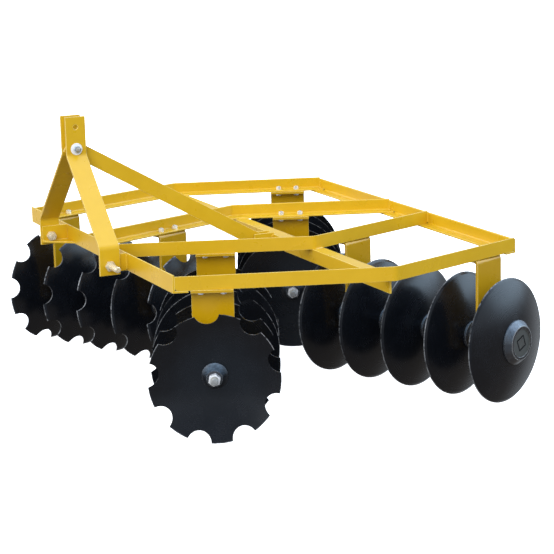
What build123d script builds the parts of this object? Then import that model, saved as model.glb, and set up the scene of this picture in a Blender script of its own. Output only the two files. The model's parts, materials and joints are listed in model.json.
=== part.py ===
from build123d import *
import os
from math import atan2, copysign, cos, degrees, radians, sin, sqrt

# Tractor-mounted tandem disc harrow: an angle-iron frame with a three-point mast carries two notched
# front gangs and two plain rear gangs of dished blades in an X.
# Millimetres. +X points to the tractor, +Y to the machine's left, +Z up, z = 0 is the ground under
# the blades, and the origin is under the middle of the machine.

os.makedirs("parts", exist_ok=True)

# ---- blades ----
blade_radius = 228.6
blade_thickness = 4.0
blade_hollow = 50.0        # how deep the dish is, rim to centre
blade_edge = 1.2           # thickness left at the sharpened rim
blade_bevel = 9.0          # width of the sharpened band, on the convex side
notch_count = 9
notch_radius = 43.0
notch_depth = 37.0

# ---- gangs ----
blades_per_gang = 5
blade_spacing = 196.85
axle_side = 25.4           # square gang axle
square_fit = 0.3           # clearance on each side of the axle in blades and castings
spool_flare_radius = 52.0
spool_waist_radius = 27.0
spool_flare_length = 34.0
spool_rim_width = 9.0
bell_base_radius = 81.0
bell_lip = 6.0             # thickness at the bell's outer edge
bell_face_radius = 63.0
bell_height = 22.0         # from the middle of the blade to the bell's face
bell_edge = 4.0            # rounding round the face
bell_disc_radius = 52.0
bell_disc_depth = 3.0      # how far the disc round the axle head lies below the face
axle_head_side = 38.1
axle_head_height = 11.0
head_gap = 2.2             # space on each side of the head in its square pocket
cone_radius = 46.0         # cone under the axle nut, in the hollow of the last blade
cone_lip = 5.0
cone_boss_radius = 28.0
cone_height = 45.0
cone_bulge = 4.0           # how far the cone's side swells out of straight
nut_across_flats = 38.1
nut_height = 22.0
axle_end = 26.0            # thread showing past the nut
thread_chamfer = 2.5

# ---- bearings and hangers ----
bearing_clearance = 0.05   # radial running fit on the spool's waist
bearing_length = 58.0
bearing_radius = 43.0
bearing_flange_side = 118.0
bearing_flange_corner = 18.0
bearing_flange_thickness = 11.0
plate_thickness = 9.5
hanger_width = 146.0
hanger_flange = 57.0
hanger_bend_radius = 15.0
hanger_tail = 72.0         # plate below the axle's centre
hanger_corner = 36.0
waist_gap = 6.0            # free space round the turning spool where it passes the plate

# ---- frame ----
frame_height = 527.0       # underside of the longitudinal rails
rail_size = 50.8           # equal-leg angle of the rails, the middle and the rear crossmember
front_size = 63.5          # the front crossmember is as deep, but stands taller
angle_wall = 6.35
root_radius = 6.0          # rolled fillet inside the angle
toe_radius = 3.0           # rolled rounding on the inner edge of each leg's toe
rail_bend_radius = 30.0    # outside of the rails' bend
front_length = 727.0       # from the rails' bend to the front crossmember's front face
rear_length = 613.0        # from the rails' bend to the rear crossmember's rear face
middle_front = 8.0         # how far the middle crossmember's front face is ahead of the bend
middle_inset = 34.0        # how far its ends stop short of the outer rails' faces at the bend
# half-widths to the inner rails' outer faces at the front end, at the bend and at the rear end
inner_front = 119.0
inner_bend = 387.0
inner_rear = 160.0
# how much further apart the outer and the inner rails are than the two bearings of a gang
spread_front = 63.45
spread_bend = 46.45
spread_rear = 55.45

# ---- hitch ----
bar_thickness = 9.5
mast_width = 76.2
mast_ahead = 67.0          # from the front crossmember's face to the pins' line
hitch_spread = 683.0       # between the outer faces of the mast legs
mast_height = 465.0        # from the lower pins up to the top-link hole
pin_rise = 18.0            # lower pins' centre above the rails' underside
leg_below_pin = 34.0
leg_knee = 67.0            # how far above the pin the leg bends inward
top_gap = 44.0             # between the two upper bars, for the top link's ball
top_straight = 106.0       # length of the bars' parallel stretch below the top-link hole
mast_above_hole = 38.0
top_hole_radius = 9.75
leg_bend_radius = 22.0
bracket_reach = 100.0      # how far the bracket stands ahead of the front crossmember
bracket_foot = 90.0        # width of the bracket's gusset foot where it meets the crossmember
pin_radius = 11.1
pin_length = 76.0
pin_collar_flats = 34.0
pin_collar = 9.0
pin_fit = 0.3
pin_thread = 34.0          # thread and nut inside the bracket
pin_nut_flats = 32.0
pin_nut_height = 18.0
linch_hole_radius = 5.5
linch_hole_inset = 12.0

# ---- brace from mast to middle crossmember ----
brace_depth = 57.15
brace_bolt_drop = 81.0     # from the top-link hole down to the brace's upper bolt
brace_foot_ahead = 55.0    # lower bolt's place ahead of the rails' bend
brace_foot_drop = 28.0     # lower bolt's depth under the rails
brace_end = 30.0           # bar past each bolt's centre
brace_bolt_radius = 8.0
bolt_fit = 0.4
lug_wall = 6.35
lug_gap = 40.0
lug_front = 85.0
lug_back = 0.0
lug_rise = 5.0
lug_drop = 54.0
bush_radius = 14.0

# ---- where the gangs sit, measured to the hub of the middle blade ----
front_gang_ahead = 443.7   # ahead of the rails' bend
front_gang_aside = -79.6   # outboard of midway between the outer and the inner rail
front_sweep = 24.2         # degrees, the front gangs' outer ends lead
rear_gang_ahead = -360.1
rear_gang_aside = 30.8
rear_sweep = -24.0         # the rear gangs' outer ends trail

# name, side (+1 left), ahead, aside, sweep, hollow side of the blades (+1 outboard, -1 inboard),
# notched, how far the gang is turned from upright, in degrees
GANGS = [
    ("front_left", 1, front_gang_ahead, front_gang_aside, front_sweep, 1, True, 5.0),
    ("front_right", -1, front_gang_ahead, front_gang_aside, front_sweep, 1, True, -4.3),
    ("rear_left", 1, rear_gang_ahead, rear_gang_aside, rear_sweep, -1, False, -21.8),
    ("rear_right", -1, rear_gang_ahead, rear_gang_aside, rear_sweep, -1, False, 21.8),
]

# how far a blade's notches are turned from the corners of its square hole, in degrees, from the
# gang's inboard end: the blades went on the axle as they came. Gangs with more blades repeat it
NOTCH_TURNS = {
    "front_left": [0.0, -20.0, -20.0, -6.5, 0.0],
    "front_right": [0.0, 8.0, 0.0, 0.0, 0.0],
}

# ---- worked out from the values above ----
axle_height = blade_radius
hub_span = (blades_per_gang - 1) * blade_spacing
bearing_span = (blades_per_gang - 2) * blade_spacing    # a bearing on each of the end spools
outer_front = inner_front + bearing_span + spread_front
outer_bend = inner_bend + bearing_span + spread_bend
outer_rear = inner_rear + bearing_span + spread_rear
dish_radius = (blade_radius**2 + blade_hollow**2) / (2 * blade_hollow)
concave_radius = dish_radius - blade_thickness / 2
convex_radius = dish_radius + blade_thickness / 2


def rim_reach(ahead, sweep, rim_along):
    """How far fore or aft of the rails' bend the end blade's rim comes."""
    return abs(ahead) + rim_along * sin(radians(abs(sweep))) + blade_radius * cos(radians(sweep))


front_reach = max(
    front_length + mast_ahead + mast_width / 2,
    rim_reach(front_gang_ahead, front_sweep, hub_span / 2 + blade_hollow),
)
rear_reach = rim_reach(rear_gang_ahead, rear_sweep, hub_span / 2 - blade_hollow)
bend_x = (rear_reach - front_reach) / 2
front_x = bend_x + front_length
rear_x = bend_x - rear_length
pin_x = front_x + mast_ahead
pin_height = frame_height + pin_rise
top_hole_z = pin_height + mast_height


def save(piece, name):
    """Labels a finished piece with its node's name and writes it."""
    piece.part.label = name
    export_step(piece.part, f"parts/{name}.step")


def rail_edge(front_width, bend_width, rear_width, inset):
    """Slopes and bend-line widths of the line that runs `inset` inboard of a rail's outer face."""
    front_slope = (bend_width - front_width) / front_length
    rear_slope = (bend_width - rear_width) / rear_length
    front_y = bend_width - inset * sqrt(1 + front_slope**2)
    rear_y = bend_width - inset * sqrt(1 + rear_slope**2)
    return front_slope, front_y, rear_slope, rear_y


def rail_points(widths, inset, front_end, rear_end):
    """Front end, bend and rear end of that line, in plan."""
    front_slope, front_y, rear_slope, rear_y = rail_edge(*widths, inset)
    knee = (front_y - rear_y) / (front_slope + rear_slope)
    return [
        (front_end, front_y - front_slope * (front_end - bend_x)),
        (bend_x + knee, front_y - front_slope * knee),
        (rear_end, rear_y - rear_slope * (bend_x - rear_end)),
    ]


def is_along(edge, points):
    """Whether an edge lies on the bent line through the points, or rounds its knee."""
    front_end, knee, rear_end = (Vector(x, y, 0) for x, y in points)
    middle = Vector(edge.center().X, edge.center().Y, 0)
    far_end = front_end if middle.X > knee.X else rear_end
    off_line = (far_end - knee).normalized().cross(middle - knee).length
    return off_line < 2 and edge.length > 2 * angle_wall


OUTER = (outer_front, outer_bend, outer_rear)
INNER = (inner_front, inner_bend, inner_rear)


# ==== longitudinal rails: angle iron, bent once, flange inboard at the bottom ====
def rail(widths):
    front_end = front_x - angle_wall
    rear_end = rear_x + angle_wall
    outside = rail_points(widths, 0, front_end, rear_end)
    leg_inside = rail_points(widths, angle_wall, front_end, rear_end)
    flange_inside = rail_points(widths, rail_size, front_end, rear_end)
    with BuildPart() as bent_rail:
        with BuildSketch(Plane.XY.offset(frame_height)):
            with BuildLine():
                FilletPolyline(*outside, radius=rail_bend_radius)
                Polyline(outside[-1], *reversed(flange_inside), outside[0])
            make_face()
        extrude(amount=angle_wall)
        inner_edges = bent_rail.faces().sort_by(Axis.Z)[-1].edges().filter_by(GeomType.LINE)
        fillet([e for e in inner_edges if is_along(e, flange_inside)], toe_radius)
        with BuildSketch(Plane.XY.offset(frame_height)):
            with BuildLine():
                FilletPolyline(*outside, radius=rail_bend_radius)
                FilletPolyline(*leg_inside, radius=rail_bend_radius - angle_wall)
                Line(outside[0], leg_inside[0])
                Line(outside[-1], leg_inside[-1])
            make_face()
        extrude(amount=rail_size)
        top_z = frame_height + rail_size
        for edge_z, radius in ((top_z, toe_radius), (frame_height + angle_wall, root_radius)):
            level_edges = bent_rail.edges().filter_by_position(Axis.Z, edge_z - 0.01, edge_z + 0.01)
            fillet([e for e in level_edges if is_along(e, leg_inside)], radius)
        # coped to clear the root fillets of the crossmembers that the ends butt against
        with Locations((front_end, 0, frame_height), (rear_end, 0, frame_height)):
            Box(2 * root_radius, 2 * outer_bend, 2 * root_radius, mode=Mode.SUBTRACT)
    return bent_rail


for place, widths in (("outer", OUTER), ("inner", INNER)):
    left_rail = rail(widths)
    with BuildPart() as right_rail:
        mirror(left_rail.part, about=Plane.XZ)
    save(left_rail, f"rail_{place}_left")
    save(right_rail, f"rail_{place}_right")


# ==== crossmembers ====
def face_width(widths, x):
    """Half-width to the outer faces of a pair of rails, x from the origin."""
    front_width, bend_width, rear_width = widths
    if x > bend_x:
        return bend_width - (x - bend_x) * (bend_width - front_width) / front_length
    return bend_width - (bend_x - x) * (bend_width - rear_width) / rear_length


def crossbar(heel_x, heel_z, flange, leg, length, in_line_with_rails):
    """Angle iron across the frame. From its heel the flange runs along X and the leg along Z, both signed."""
    flange_wall = copysign(angle_wall, flange)
    leg_wall = copysign(angle_wall, leg)
    flange_toe = (heel_x + flange, heel_z + leg_wall)
    root = (heel_x + flange_wall, heel_z + leg_wall)
    leg_toe = (heel_x + flange_wall, heel_z + leg)
    with BuildPart() as bar:
        with BuildSketch(Plane.XZ.offset(-length / 2)) as section:
            with BuildLine():
                Polyline((heel_x, heel_z), (heel_x + flange, heel_z), flange_toe, root, leg_toe,
                         (heel_x, heel_z + leg), close=True)
            make_face()
            for corner, radius in ((root, root_radius), (flange_toe, toe_radius), (leg_toe, toe_radius)):
                fillet(section.vertices().sort_by_distance((*corner, 0))[0], radius)
        extrude(amount=length)
        if in_line_with_rails:
            near, far = face_width(OUTER, heel_x), face_width(OUTER, heel_x + flange)
            with BuildSketch():
                with BuildLine():
                    Polyline((heel_x, -near), (heel_x + flange, -far), (heel_x + flange, far),
                             (heel_x, near), close=True)
                make_face()
            extrude(amount=2 * frame_height, mode=Mode.INTERSECT)
    return bar


crossmember_bottom = frame_height - angle_wall
front_crossmember = crossbar(front_x, crossmember_bottom, -rail_size, front_size, 2 * outer_bend, True)
save(front_crossmember, "front_crossmember")
rear_crossmember = crossbar(rear_x, crossmember_bottom, rail_size, rail_size, 2 * outer_bend, True)
save(rear_crossmember, "rear_crossmember")
middle_x = bend_x + middle_front
middle_length = 2 * (outer_bend - middle_inset)
middle_crossmember = crossbar(middle_x, frame_height, -rail_size, -rail_size, middle_length, False)
save(middle_crossmember, "middle_crossmember")

# ==== hitch: mast legs, brackets, pins ====
leg_face = hitch_spread / 2
bracket_face = leg_face - bar_thickness
leg_plane = Plane.YZ.offset(pin_x - mast_width / 2)
with BuildPart() as mast_leg_left:
    with BuildSketch(leg_plane):
        with BuildLine() as leg_line:
            FilletPolyline(
                (leg_face - bar_thickness / 2, pin_height - leg_below_pin),
                (leg_face - bar_thickness / 2, pin_height + leg_knee),
                (top_gap / 2 + bar_thickness / 2, top_hole_z - top_straight),
                (top_gap / 2 + bar_thickness / 2, top_hole_z + mast_above_hole),
                radius=leg_bend_radius,
            )
        trace(line_width=bar_thickness)
    extrude(amount=mast_width)
    for bore_z, bore_radius in (
        (pin_height, pin_radius + pin_fit),
        (top_hole_z, top_hole_radius),
        (top_hole_z - brace_bolt_drop, brace_bolt_radius + bolt_fit),
    ):
        with BuildSketch(Plane.XZ):
            with Locations((pin_x, bore_z)):
                Circle(bore_radius)
        extrude(amount=-hitch_spread, mode=Mode.SUBTRACT)
with BuildPart() as mast_leg_right:
    mirror(mast_leg_left.part, about=Plane.XZ)
save(mast_leg_left, "mast_leg_left")
save(mast_leg_right, "mast_leg_right")

with BuildPart() as hitch_brackets:
    with BuildSketch(Plane.XY.offset(crossmember_bottom)):
        with BuildLine():
            Polyline(
                (front_x, bracket_face),
                (front_x, bracket_face - bracket_foot),
                (front_x + bracket_reach, bracket_face - angle_wall),
                (front_x + bracket_reach, bracket_face),
                close=True,
            )
        make_face()
    extrude(amount=angle_wall)
    with BuildSketch(Plane.XZ.offset(-bracket_face)):
        with Locations((front_x, crossmember_bottom)):
            Rectangle(bracket_reach, front_size, align=(Align.MIN, Align.MIN))
    extrude(amount=angle_wall)
    with BuildSketch(Plane.XZ.offset(-bracket_face)):
        with Locations((pin_x, pin_height)):
            Circle(pin_radius + pin_fit)
    extrude(amount=angle_wall, mode=Mode.SUBTRACT)
    mirror(about=Plane.XZ)
save(hitch_brackets, "hitch_brackets")

with BuildPart() as hitch_pins:
    inner_end = bracket_face - angle_wall - pin_thread
    outer_end = leg_face + pin_collar + pin_length
    with BuildSketch(Plane.XZ.offset(-outer_end)):
        with Locations((pin_x, pin_height)):
            Circle(pin_radius)
    extrude(amount=outer_end - inner_end)
    chamfer(hitch_pins.edges().group_by(Axis.Y)[-1], 3)
    with BuildSketch(Plane.XZ.offset(-(leg_face + pin_collar))):
        with Locations((pin_x, pin_height)):
            RegularPolygon(pin_collar_flats / 2, 6, major_radius=False)
    extrude(amount=pin_collar)
    with BuildSketch(Plane.XZ.offset(-(bracket_face - angle_wall))):
        with Locations((pin_x, pin_height)):
            RegularPolygon(pin_nut_flats / 2, 6, major_radius=False)
    extrude(amount=pin_nut_height)
    with BuildSketch(Plane.XY.offset(pin_height)):
        with Locations((pin_x, outer_end - linch_hole_inset)):
            Circle(linch_hole_radius)
    extrude(amount=pin_radius + 1, both=True, mode=Mode.SUBTRACT)
    mirror(about=Plane.XZ)
save(hitch_pins, "hitch_pins")

# ==== brace, its foot lugs and bushes ====
upper_bolt = (pin_x, top_hole_z - brace_bolt_drop)
lower_bolt = (bend_x + brace_foot_ahead, frame_height - brace_foot_drop)
brace_angle = degrees(atan2(upper_bolt[1] - lower_bolt[1], upper_bolt[0] - lower_bolt[0]))
brace_span = sqrt((upper_bolt[0] - lower_bolt[0]) ** 2 + (upper_bolt[1] - lower_bolt[1]) ** 2)
with BuildPart() as mast_brace:
    with BuildSketch(Plane.XZ.offset(-bar_thickness / 2)):
        with Locations(Location((lower_bolt[0], lower_bolt[1]), brace_angle)):
            with Locations((-brace_end, 0)):
                Rectangle(brace_span + 2 * brace_end, brace_depth, align=(Align.MIN, Align.CENTER))
        with Locations(lower_bolt, upper_bolt):
            Circle(brace_bolt_radius + bolt_fit, mode=Mode.SUBTRACT)
    extrude(amount=bar_thickness)
save(mast_brace, "mast_brace")

with BuildPart() as brace_lugs:
    with BuildSketch(Plane.XZ.offset(-(lug_gap / 2 + lug_wall))):
        with BuildLine():
            Polyline(
                (middle_x, frame_height),
                (bend_x + lug_back, frame_height),
                (bend_x + lug_back, frame_height + lug_rise),
                (bend_x + lug_front, frame_height + lug_rise),
                (bend_x + lug_front, frame_height - lug_drop / 2),
                (bend_x + brace_foot_ahead, frame_height - lug_drop),
                (middle_x, frame_height - lug_drop),
                close=True,
            )
        make_face()
        with Locations(lower_bolt):
            Circle(brace_bolt_radius + bolt_fit, mode=Mode.SUBTRACT)
    extrude(amount=lug_wall)
    mirror(about=Plane.XZ)
save(brace_lugs, "brace_lugs")

with BuildPart() as brace_bushes:
    for (bolt_x, bolt_z), gap in ((upper_bolt, top_gap), (lower_bolt, lug_gap)):
        with BuildSketch(Plane.XZ.offset(-gap / 2)):
            with Locations((bolt_x, bolt_z)):
                Circle(bush_radius)
                Circle(brace_bolt_radius + bolt_fit, mode=Mode.SUBTRACT)
        extrude(amount=(gap - bar_thickness) / 2)
    mirror(about=Plane.XZ)
save(brace_bushes, "brace_bushes")


# ==== blades, made once in their own frame: the hollow side faces +Z, the hub is at z = 0 ====
def on_dish(surface_radius, r):
    """Point of a dish surface at radius r, in the (r, z) half-plane."""
    return (r, dish_radius - sqrt(surface_radius**2 - r**2))


def dish_arc(surface_radius, r_from, r_to):
    """Arc of a dish surface in the (r, z) half-plane."""
    points = [on_dish(surface_radius, r) for r in (r_from, (r_from + r_to) / 2, r_to)]
    ThreePointArc(*points)


square_hole = axle_side + 2 * square_fit
with BuildPart() as plain_blade:
    rim_inside = on_dish(concave_radius, blade_radius)
    rim_outside = (blade_radius, rim_inside[1] - blade_edge)
    bevel_start = on_dish(convex_radius, blade_radius - blade_bevel)
    with BuildSketch(Plane.XZ):
        with BuildLine():
            dish_arc(concave_radius, 0, blade_radius)
            Line(rim_inside, rim_outside)
            Line(rim_outside, bevel_start)
            dish_arc(convex_radius, blade_radius - blade_bevel, 0)
            Line(on_dish(convex_radius, 0), on_dish(concave_radius, 0))
        make_face()
    revolve(axis=Axis.Z)
    with BuildSketch():
        Rectangle(square_hole, square_hole)
    extrude(amount=blade_hollow, both=True, mode=Mode.SUBTRACT)

with BuildPart() as rim_notches:
    with BuildSketch():
        with PolarLocations(blade_radius - notch_depth + notch_radius, notch_count):
            Circle(notch_radius)
    extrude(amount=2 * blade_hollow)


# ==== castings of a gang, each from its own (r, z) profile ====
def spool_profile():
    """Spool from the hollow side of one blade, at z = 0, to the humped side of the next."""
    seat = on_dish(concave_radius, spool_flare_radius)
    far = on_dish(convex_radius, spool_flare_radius)
    far_seat = (far[0], far[1] + blade_spacing)
    far_centre = (0, on_dish(convex_radius, 0)[1] + blade_spacing)
    rim = (spool_flare_radius, seat[1] + spool_rim_width)
    waist = (spool_waist_radius, seat[1] + spool_flare_length)
    far_waist = (spool_waist_radius, far_seat[1] - spool_flare_length)
    far_rim = (spool_flare_radius, far_seat[1] - spool_rim_width)
    dish_arc(concave_radius, 0, spool_flare_radius)
    Line(seat, rim)
    TangentArc(waist, rim, tangent=(0, -1))
    Line(waist, far_waist)
    TangentArc(far_waist, far_rim, tangent=(0, 1))
    Line(far_rim, far_seat)
    middle = on_dish(convex_radius, spool_flare_radius / 2)
    ThreePointArc(far_seat, (middle[0], middle[1] + blade_spacing), far_centre)
    Line(far_centre, on_dish(concave_radius, 0))


with BuildPart() as spool:
    with BuildSketch(Plane.XZ):
        with BuildLine():
            spool_profile()
        make_face()
    revolve(axis=Axis.Z)
    with BuildSketch():
        Rectangle(square_hole, square_hole)
    extrude(amount=blade_spacing, mode=Mode.SUBTRACT)


def bell_profile():
    """End bell against the humped side of the first blade, reaching away from it."""
    seat = on_dish(convex_radius, bell_base_radius)
    disc = bell_disc_depth - bell_height
    dish_arc(convex_radius, 0, bell_base_radius)
    Polyline(
        seat,
        (bell_base_radius, seat[1] - bell_lip),
        (bell_face_radius, -bell_height),
        (bell_disc_radius, -bell_height),
        (bell_disc_radius, disc),
        (0, disc),
        on_dish(convex_radius, 0),
    )


head_seat = bell_disc_depth - bell_height + axle_head_height
head_pocket = axle_head_side + 2 * head_gap
with BuildPart() as end_bell:
    with BuildSketch(Plane.XZ) as half_bell:
        with BuildLine():
            bell_profile()
        make_face()
        fillet(half_bell.vertices().sort_by_distance((bell_face_radius, -bell_height, 0))[0], bell_edge)
    revolve(axis=Axis.Z)
    with BuildSketch(Plane.XY.offset(head_seat)):
        Rectangle(head_pocket, head_pocket)
    extrude(amount=-bell_height, mode=Mode.SUBTRACT)
    with BuildSketch(Plane.XY.offset(head_seat)):
        Rectangle(square_hole, square_hole)
    extrude(amount=bell_height, mode=Mode.SUBTRACT)


def cone_profile():
    """Cone in the hollow of the last blade, at z = 0, with a flat boss for the axle nut."""
    seat = on_dish(concave_radius, cone_radius)
    shoulder = (cone_radius, seat[1] + cone_lip)
    boss = (cone_boss_radius, blade_thickness / 2 + cone_height)
    dish_arc(concave_radius, 0, cone_radius)
    Line(seat, shoulder)
    SagittaArc(shoulder, boss, cone_bulge)
    Polyline(boss, (0, boss[1]), on_dish(concave_radius, 0))


with BuildPart() as end_cone:
    with BuildSketch(Plane.XZ):
        with BuildLine():
            cone_profile()
        make_face()
    revolve(axis=Axis.Z)
    with BuildSketch():
        Rectangle(square_hole, square_hole)
    extrude(amount=blade_hollow + cone_height, mode=Mode.SUBTRACT)

# the axle runs from its square head, in the first blade's bell, to the thread past the nut
nut_seat = hub_span + blade_thickness / 2 + cone_height
with BuildPart() as axle:
    with BuildSketch(Plane.XY.offset(head_seat)):
        Rectangle(axle_side, axle_side)
    extrude(amount=nut_seat - axle_side / 2 - head_seat)
    with BuildSketch(Plane.XY.offset(nut_seat - axle_side / 2)):
        Circle(axle_side / 2)
    extrude(amount=axle_side / 2 + nut_height + axle_end)
    chamfer(axle.edges().group_by(Axis.Z)[-1], thread_chamfer)
    with BuildSketch(Plane.XY.offset(head_seat)):
        Rectangle(axle_head_side, axle_head_side)
    extrude(amount=-axle_head_height)

with BuildPart() as axle_nut:
    with BuildSketch(Plane.XY.offset(nut_seat)):
        RegularPolygon(nut_across_flats / 2, 6, major_radius=False)
        Circle(axle_side / 2 + square_fit, mode=Mode.SUBTRACT)
    extrude(amount=nut_height)


# ==== gangs in place, with their hangers and bearings ====
def crossing(ahead, out, sweep, hollow_side, widths):
    """Where a gang's axis, measured from its middle hub, passes under the near edge of a rail's flange."""
    axis_x, axis_y = hollow_side * sin(radians(sweep)), hollow_side * cos(radians(sweep))
    front_slope, front_y, rear_slope, rear_y = rail_edge(*widths, rail_size if hollow_side > 0 else 0)
    slope, edge_y = (-front_slope, front_y) if ahead > 0 else (rear_slope, rear_y)
    return (edge_y + slope * ahead - out) / (axis_y - slope * axis_x)


for name, side, ahead, aside, sweep, hollow_side, notched, turn in GANGS:
    out = (face_width(OUTER, bend_x + ahead) + face_width(INNER, bend_x + ahead)) / 2 + aside
    axis_dir = Vector(hollow_side * sin(radians(sweep)), hollow_side * side * cos(radians(sweep)), 0)
    up_dir = Vector(0, 0, 1)
    across_dir = axis_dir.cross(up_dir)
    turned_up = up_dir * cos(radians(turn)) + across_dir * sin(radians(turn))
    middle_hub = Vector(bend_x + ahead, side * out, axle_height)
    gang = Plane(origin=middle_hub, x_dir=turned_up, z_dir=axis_dir)
    upright = Plane(origin=middle_hub, x_dir=up_dir, z_dir=axis_dir)
    first_hub = gang.offset(-hub_span / 2)
    hubs = [first_hub.offset(i * blade_spacing) for i in range(blades_per_gang)]

    with BuildPart() as blades:
        with Locations(*hubs):
            add(plain_blade.part)
        if notched:
            turns = NOTCH_TURNS[name]
            for i, hub in enumerate(hubs):
                with Locations(hub.rotated((0, 0, turns[i % len(turns)]))):
                    add(rim_notches.part, mode=Mode.SUBTRACT)
    save(blades, f"{name}_blades")

    with BuildPart() as spools:
        with Locations(*hubs[:-1]):
            add(spool.part)
    save(spools, f"{name}_spools")

    with BuildPart() as placed_axle:
        with Locations(first_hub):
            add(axle.part)
    save(placed_axle, f"{name}_axle")

    with BuildPart() as placed_nut:
        with Locations(first_hub):
            add(axle_nut.part)
    save(placed_nut, f"{name}_axle_nut")

    with BuildPart() as placed_bell:
        with Locations(first_hub):
            add(end_bell.part)
    save(placed_bell, f"{name}_end_bell")

    with BuildPart() as placed_cone:
        with Locations(hubs[-1]):
            add(end_cone.part)
    save(placed_cone, f"{name}_end_cone")

    hanger_places = [crossing(ahead, out, sweep, hollow_side, widths) for widths in (INNER, OUTER)]
    drop = frame_height - axle_height
    side_view = Plane(origin=middle_hub, x_dir=axis_dir, z_dir=across_dir)
    with BuildPart() as hangers:
        for plate in hanger_places:
            with BuildSketch(side_view):
                with BuildLine():
                    FilletPolyline(
                        (plate + plate_thickness / 2, -hanger_tail),
                        (plate + plate_thickness / 2, drop - plate_thickness / 2),
                        (plate + hanger_flange, drop - plate_thickness / 2),
                        radius=hanger_bend_radius - plate_thickness / 2,
                    )
                trace(line_width=plate_thickness)
            extrude(amount=hanger_width / 2, both=True)
            with BuildSketch(upright.offset(plate)):
                Circle(spool_waist_radius + waist_gap)
            extrude(amount=plate_thickness, mode=Mode.SUBTRACT)
        corner_edges = hangers.edges().filter_by(Axis(middle_hub, axis_dir))
        fillet(corner_edges.group_by(Axis.Z)[0], hanger_corner)
    save(hangers, f"{name}_hangers")

    with BuildPart() as bearings:
        for plate in hanger_places:
            with BuildSketch(upright.offset(plate)):
                RectangleRounded(bearing_flange_side, bearing_flange_side, bearing_flange_corner)
            extrude(amount=-bearing_flange_thickness)
            with BuildSketch(upright.offset(plate)):
                Circle(bearing_radius)
            extrude(amount=-bearing_length)
            with BuildSketch(upright.offset(plate)):
                Circle(spool_waist_radius + bearing_clearance)
            extrude(amount=-bearing_length, mode=Mode.SUBTRACT)
    save(bearings, f"{name}_bearings")
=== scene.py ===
import json
from math import cos, pi, radians, sin, sqrt, tan

import bmesh
import bpy
from mathutils import Matrix, Quaternion, Vector
from mathutils.noise import noise

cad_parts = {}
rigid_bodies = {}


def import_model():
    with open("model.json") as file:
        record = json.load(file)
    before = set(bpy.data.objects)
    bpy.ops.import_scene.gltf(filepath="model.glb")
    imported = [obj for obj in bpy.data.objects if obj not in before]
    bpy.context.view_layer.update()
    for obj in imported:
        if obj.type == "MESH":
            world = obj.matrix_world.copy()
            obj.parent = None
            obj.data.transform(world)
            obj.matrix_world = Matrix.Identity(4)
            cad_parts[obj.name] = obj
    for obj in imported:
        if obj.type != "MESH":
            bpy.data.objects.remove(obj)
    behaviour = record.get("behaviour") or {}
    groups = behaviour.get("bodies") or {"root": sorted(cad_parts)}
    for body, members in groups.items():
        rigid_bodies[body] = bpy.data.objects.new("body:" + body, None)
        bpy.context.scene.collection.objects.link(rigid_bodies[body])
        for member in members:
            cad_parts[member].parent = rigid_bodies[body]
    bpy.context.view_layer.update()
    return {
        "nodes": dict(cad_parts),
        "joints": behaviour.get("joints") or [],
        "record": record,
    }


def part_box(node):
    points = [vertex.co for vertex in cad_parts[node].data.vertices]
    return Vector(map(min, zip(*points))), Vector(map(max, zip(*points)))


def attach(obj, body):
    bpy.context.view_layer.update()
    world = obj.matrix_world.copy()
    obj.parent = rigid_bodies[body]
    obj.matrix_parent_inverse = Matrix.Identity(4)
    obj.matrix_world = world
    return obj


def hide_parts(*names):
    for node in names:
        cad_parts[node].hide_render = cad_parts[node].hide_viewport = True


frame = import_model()

# Looks of the disc harrow. Metres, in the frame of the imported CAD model: +X to the tractor, +Y to the
# machine's left, +Z up. The CAD nodes are shown as they are, with rounded edges and finishes; bolts,
# nuts, washers, threads and weld beads are made here.

# ---- camera, where the photograph was taken from ----
CAMERA_PLACE = (2.9969, 6.7133, 1.9638)
CAMERA_YAW = -114.63            # degrees in plan, from +X
CAMERA_PITCH = -12.35
CAMERA_ROLL = -1.52
CAMERA_LENS = 124.98            # mm
SENSOR = 36                     # mm

# ---- light ----
SKY = (0.62, 0.69, 0.78)
GROUND = (0.20, 0.18, 0.165)    # what the undersides look down on, warmed by the machine's own yellow
BACKDROP = (1.0, 1.0, 1.0)      # what the camera sees past the floor
HORIZON = (-0.02, 0.04)         # heights between which ground turns into sky
# Soft boxes: direction, cosines of the angles where a box begins and where it is full, colour added.
# One of negative colour is a black flag.
SKY_BOXES = (
    ((-0.93, 0.17, 0.36), 0.86, 0.97, (1.6, 2.2, 2.8)),
    ((-0.33, 0.10, 0.93), 0.75, 0.97, (0.9, 1.2, 1.7)),
    ((0.85, -0.42, 0.33), 0.45, 0.95, (1.6, 1.6, 1.6)),
    ((0.39, 0.66, 0.61), 0.60, 0.92, (-0.36, -0.39, -0.42)),
)
GROUND_BOXES = (
    ((-0.75, -0.62, -0.25), 0.72, 0.97, (0.36, 0.42, 0.48)),
    ((0.47, 0.85, -0.20), 0.75, 0.97, (0.08, 0.15, 0.23)),
    ((0.42, -0.91, -0.20), 0.75, 0.97, (0.5, 0.5, 0.5)),
)
SKY_BOX_FOOT = (0.03, 0.12)     # heights over which the boxes fade in above the horizon
GROUND_BOX_TOP = (-0.06, 0.0)   # and out below it
FILL_FROM = (0.52, 0.72, 0.50)
FILL_WIDTH = 50                 # degrees
FILL_STRENGTH = 2.7
FLOOR_WHITE = 0.90
FLOOR_GLOW = 1.1                # enough to keep the floor white in the machine's shade
FLOOR_HALF = 60

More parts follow.
